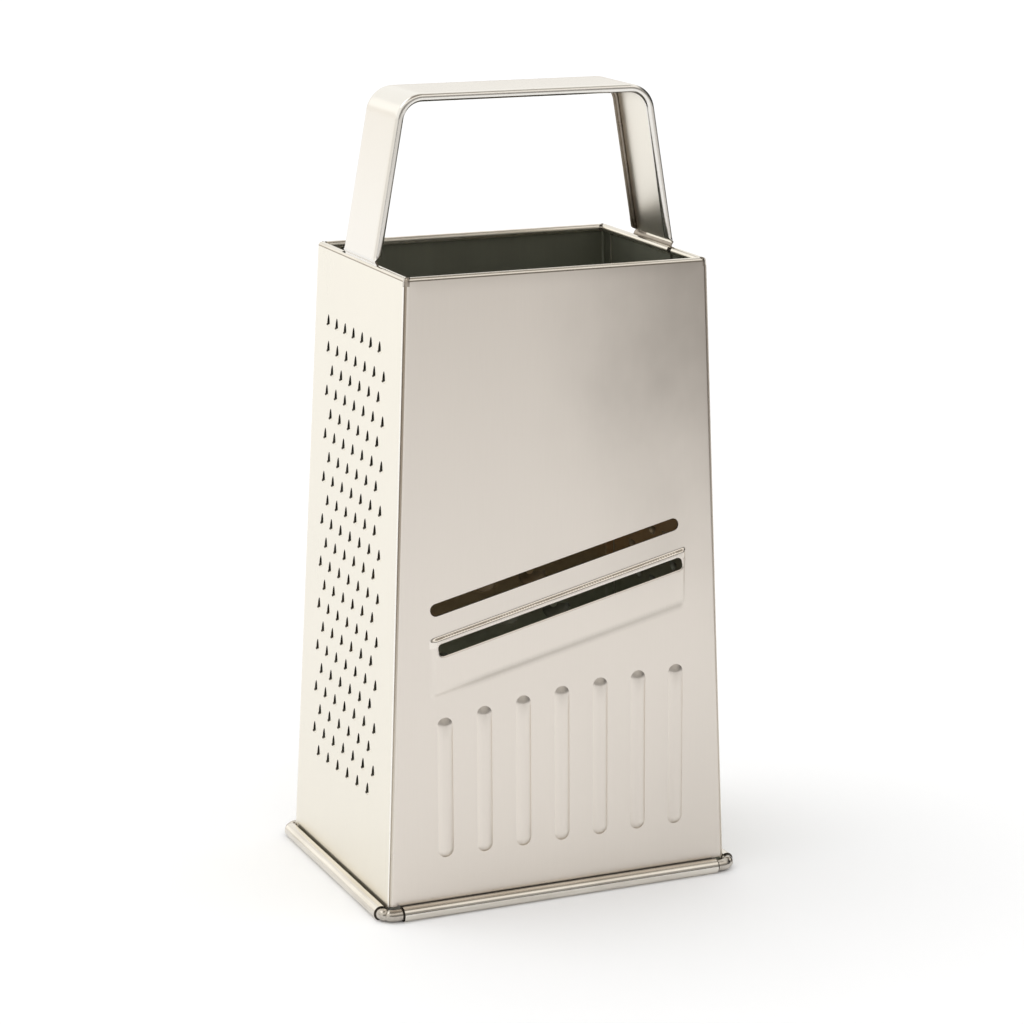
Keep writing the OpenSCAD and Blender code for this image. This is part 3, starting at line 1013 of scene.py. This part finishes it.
def seam_steel(name):
    """The sheet's rounded edge at a seam, as painted shade: browner and duller towards the rim."""
    f = Finish(name)
    spot = f.node("ShaderNodeSeparateXYZ", Vector=f.place())
    grime = f.noise(300.0, (1.0, 1.0, 0.15), 3.0)
    rim_shade = f.step(f.out(spot, "Z") + (grime - 0.5) * 0.02, 0.015, 0.13)
    colour = f.mix(rim_shade, (0.66, 0.61, 0.54, 1.0), (0.34, 0.29, 0.235, 1.0))
    shader = f.node("ShaderNodeBsdfPrincipled", Base_Color=colour, Metallic=1.0,
                    Roughness=(grime - 0.5) * 0.2 + 0.3)
    return f.close(shader)


def set_finish(piece, *materials):
    """Puts the materials in the piece's slots, in their order."""
    slots = piece.data.materials
    while len(slots) < len(materials):
        slots.append(None)
    for i, material in enumerate(materials):
        slots[i] = material


def take_place(piece, node):
    """Lets a piece stand for its solid."""
    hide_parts(node)
    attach(piece, "root")


def build():
    """Makes the seven pieces and their finishes."""
    # The slicing side's steel is a darker copy of the sides' steel: its lower tone is painted shade
    front_face = brushed_steel("slicing_side_steel", (0.825, 0.768, 0.70, 1.0), (0.755, 0.697, 0.63, 1.0),
                               0.32, shade_strength=0.64)
    face = brushed_steel("brushed_sheet_steel", (0.925, 0.885, 0.79, 1.0), (0.855, 0.812, 0.715, 1.0), 0.30)
    cut = brushed_steel("sheared_edge", (0.92, 0.89, 0.83, 1.0), (0.72, 0.67, 0.60, 1.0), 0.3)
    rolled = rolled_edge("burnished_roll")
    # Burnished, and brighter as a painted highlight on the raw edges
    burnish_and_sheen = brushed_steel("burnished_edge_painted_highlight", (1.0, 0.985, 0.94, 1.0), (0.95, 0.93, 0.88, 1.0), 0.24)
    pressed = brushed_steel("pressed_step", (0.86, 0.81, 0.745, 1.0), (0.78, 0.73, 0.66, 1.0), 0.17)
    # Near-black painted shade for hole edges, the curls' insides and the wires' hidden runs
    black_shade = drawn_wire("black_painted_shade", (0.03, 0.026, 0.02, 1.0), (0.12, 0.105, 0.085, 1.0), 0.4)
    inner = dark_inside("inner_face_painted_shade")
    # Tooth hollows: the inside's finish darker still, as painted shade in the recesses
    hollow = dark_inside("hollow_of_a_tooth", 0.42)
    # Grime with painted shade, for corner tops and parts of the strap
    grime_and_shade = drawn_wire("grime_and_shade_steel", (0.24, 0.205, 0.17, 1.0), (0.44, 0.39, 0.33, 1.0), 0.3)
    wire = drawn_wire("drawn_wire", (0.36, 0.32, 0.27, 1.0), (0.74, 0.70, 0.64, 1.0), 0.22)
    strap_face = brushed_steel("satin_strap", (0.87, 0.845, 0.80, 1.0), (0.81, 0.785, 0.74, 1.0), 0.2)
    strap_inside = brushed_steel("strap_inside", (0.93, 0.89, 0.80, 1.0), (0.81, 0.765, 0.68, 1.0), 0.32)
    seam = seam_steel("seam_edge")

    slicer = sheet_piece("slicing_sheet", FRONT, [slot_loop(UPPER_SLOT), slot_loop(LOWER_SLOT)],
                         front_points(), front_relief, 0.1, True)
    fine_side = grating_piece("fine_grating_sheet", LEFT, fine_field(), FINE_TOOTH, False)
    medium_side = grating_piece("medium_grating_sheet", RIGHT, field(RIGHT, *MEDIUM_ROWS), MEDIUM_TOOTH,
                                False)
    coarse_side = grating_piece("coarse_grating_sheet", BACK, field(BACK, *COARSE_ROWS), COARSE_TOOTH, True)
    for piece, node, bent in ((slicer, "front_panel", True), (fine_side, "left_panel", False),
                              (medium_side, "right_panel", False), (coarse_side, "back_panel", True)):
        set_finish(piece, front_face if piece == slicer else face, inner, cut, rolled, black_shade,
                   pressed if piece == slicer else hollow, grime_and_shade if bent else burnish_and_sheen, seam)
        take_place(piece, node)

    foot_w = BASE_W + 2 * WIRE_R * math.cos(LEFT.lean)
    foot_d = BASE_D + 2 * WIRE_R * math.cos(FRONT.lean)
    foot = wire_frame("foot_wire_frame", foot_w, foot_d, BEAD_BEND, WIRE_R - WIRE_PLAY, BEAD_Z, 0.35, 1.3)
    inset = SHEET + STRAP_T + RIM_WIRE_R + 2 * PLAY
    rim = wire_frame("rim_wire_frame", TOP_W - 2 * inset, TOP_D - 2 * inset, RIM_BEND, RIM_WIRE_R, RIM_Z,
                     0.0, 0.3)
    for piece, node in ((foot, "foot_wire"), (rim, "rim_wire")):
        # The wires' hidden straight runs take near-black painted shade
        set_finish(piece, wire, black_shade)
        take_place(piece, node)

    strap = strap_piece()
    # The strap's cut edges, hem insides and jog take grime with painted shade, and its feet the inside's
    # painted shade
    set_finish(strap, strap_face, strap_inside, grime_and_shade, cut, cut, inner, grime_and_shade, cut)
    take_place(strap, "handle")


# Camera, floor and light

# DIM_WAY is where the floor dims for metal, and FRONT_TURN where the grey front wall is, in degrees
DIM_WAY = (0.90, -0.43)
CAMERA_AT = (-0.33519, -0.75603, 0.30899)
CAMERA_YAW = math.radians(23.98)
CAMERA_PITCH = math.radians(14.289)
CAMERA_ROLL = math.radians(0.386)
LENS = 109.67
FRONT_TURN = -66


def camera():
    """The camera, whose place was found by fitting the body's straight edges."""
    data = bpy.data.cameras.new("camera")
    data.sensor_width = 36.0
    data.lens = LENS
    data.clip_start = 0.05
    data.clip_end = 50.0
    eye = bpy.data.objects.new("camera", data)
    bpy.context.scene.collection.objects.link(eye)
    sy, cy = math.sin(CAMERA_YAW), math.cos(CAMERA_YAW)
    sp, cp = math.sin(CAMERA_PITCH), math.cos(CAMERA_PITCH)
    ahead = Vector((sy * cp, cy * cp, -sp))
    level = Vector((cy, -sy, 0))
    rise = level.cross(ahead)
    right = math.cos(CAMERA_ROLL) * level + math.sin(CAMERA_ROLL) * rise
    up = math.cos(CAMERA_ROLL) * rise - math.sin(CAMERA_ROLL) * level
    eye.matrix_world = Matrix((
        (right.x, up.x, -ahead.x, CAMERA_AT[0]),
        (right.y, up.y, -ahead.y, CAMERA_AT[1]),
        (right.z, up.z, -ahead.z, CAMERA_AT[2]),
        (0, 0, 0, 1)))
    bpy.context.scene.camera = eye


def floor():
    """A wide pale floor. The camera sees it white but for the shadow.

    Metal alone sees it dimmer towards DIM_WAY, and dark further to the right.
    """
    mesh = bpy.data.meshes.new("floor")
    r = 6.0
    mesh.from_pydata([(-r, -r, 0), (r, -r, 0), (r, r, 0), (-r, r, 0)], [], [(0, 1, 2, 3)])
    ground = bpy.data.objects.new("floor", mesh)
    bpy.context.scene.collection.objects.link(ground)
    f = Finish("pale_floor")
    spot = f.node("ShaderNodeSeparateXYZ", Vector=f.place())
    x, y = f.out(spot, "X"), f.out(spot, "Y")
    path = f.node("ShaderNodeLightPath")
    gloss = f.out(path, "Is Glossy Ray")
    dim = f.step(x * DIM_WAY[0] + y * DIM_WAY[1], 0.35, 1.05) * f.step(y, 0.10, -0.12) * gloss
    tone = f.mix(dim, (0.95, 0.95, 0.95, 1.0), (0.68, 0.66, 0.64, 1.0))
    dark = f.step(x * 0.99 + y * 0.14, 0.25, 0.9) * f.step(x - y, 0.02, 0.2) * f.step(y, -0.6, -0.2) * gloss
    tone = f.mix(dark, tone, (0.04, 0.036, 0.03, 1.0))
    tone = f.mix(f.out(path, "Is Camera Ray"), tone, (1.0, 1.0, 1.0, 1.0))
    matt = f.node("ShaderNodeBsdfDiffuse", Color=tone)
    mesh.materials.append(f.close(matt))


def wall_look(room, way):
    """What metal and the camera see round the object: a bright studio with a grey front wall."""
    height = room.out(way, "Z")

    def towards(turn, low, high):
        turn = math.radians(turn)
        x, y = room.out(way, "X"), room.out(way, "Y")
        return room.step(x * math.cos(turn) + y * math.sin(turn), low, high)

    bright, pale, grey, dull, black = ((c, c * 0.96, c * 0.9, 1.0) for c in (1.05, 0.86, 0.37, 0.16, 0.03))
    front_stops = ((0.0, bright), (0.18, bright), (0.21, dull), (0.33, dull), (0.40, grey), (0.72, grey),
                   (0.80, bright))
    far_stops = ((0.16, (1.0, 1.0, 1.0, 1.0)), (0.22, pale), (0.32, pale), (0.37, (1.05, 1.04, 1.0, 1.0)))
    front_wall, far_wall = (
        room.out(room.node("ShaderNodeValToRGB", {"stops": stops}, Fac=height + 0.2))
        for stops in (front_stops, far_stops))
    wall = room.mix(towards(FRONT_TURN, 0.25, 0.55), far_wall, front_wall)
    wall = room.mix(towards(8, 0.66, 0.82) * room.step(height, -0.06, 0.0), wall, black)
    return room.mix(room.step(height, 0.82, 0.92), wall, (0.30, 0.265, 0.225, 1.0))


def studio():
    """The world: an even soft light, and the walls that only the camera and gloss see."""
    world = bpy.data.worlds.new("studio")
    bpy.context.scene.world = world
    world.use_nodes = True
    tree = world.node_tree
    tree.nodes.clear()
    room = Finish.on(tree)
    path = room.node("ShaderNodeLightPath")
    camera_ray, glossy_ray, clear_ray = (
        room.out(path, f"Is {kind} Ray") for kind in ("Camera", "Glossy", "Transmission"))
    seen = camera_ray + glossy_ray + clear_ray
    place = room.out(room.node("ShaderNodeTexCoord"), "Generated")
    way = room.node("ShaderNodeSeparateXYZ", Vector=place)
    look = room.node("ShaderNodeBackground", Color=wall_look(room, way), Strength=1.0)
    soft = room.node("ShaderNodeBackground", Color=(1.0, 1.0, 1.0, 1.0), Strength=0.96)
    both = tree.nodes.new("ShaderNodeMixShader")
    end = tree.nodes.new("ShaderNodeOutputWorld")
    tree.links.new(seen.socket, both.inputs[0])
    tree.links.new(soft.outputs[0], both.inputs[1])
    tree.links.new(look.outputs[0], both.inputs[2])
    tree.links.new(both.outputs[0], end.inputs["Surface"])


def lamps():
    """A large warm lamp behind on the left, and a soft high key."""
    data = bpy.data.lights.new("left_lamp", "AREA")
    data.shape = "RECTANGLE"
    data.size, data.size_y = 0.9, 0.7
    data.energy = 0.35
    data.color = (1.0, 0.97, 0.88)
    light = bpy.data.objects.new("left_lamp", data)
    bpy.context.scene.collection.objects.link(light)
    light.location = (-0.75, 1.15, 0.42)
    aim = Vector((0, 0, 0.1)) - light.location
    light.rotation_euler = aim.to_track_quat("-Z", "Y").to_euler()
    sun = bpy.data.lights.new("soft_key", "SUN")
    sun.energy = 0.4
    sun.angle = math.radians(40)
    key = bpy.data.objects.new("soft_key", sun)
    bpy.context.scene.collection.objects.link(key)
    key.rotation_euler = Vector((-0.5, 0.3, 0.9)).to_track_quat("Z", "Y").to_euler()


build()
camera()
floor()
studio()
lamps()
bpy.context.scene.view_settings.view_transform = "Standard"
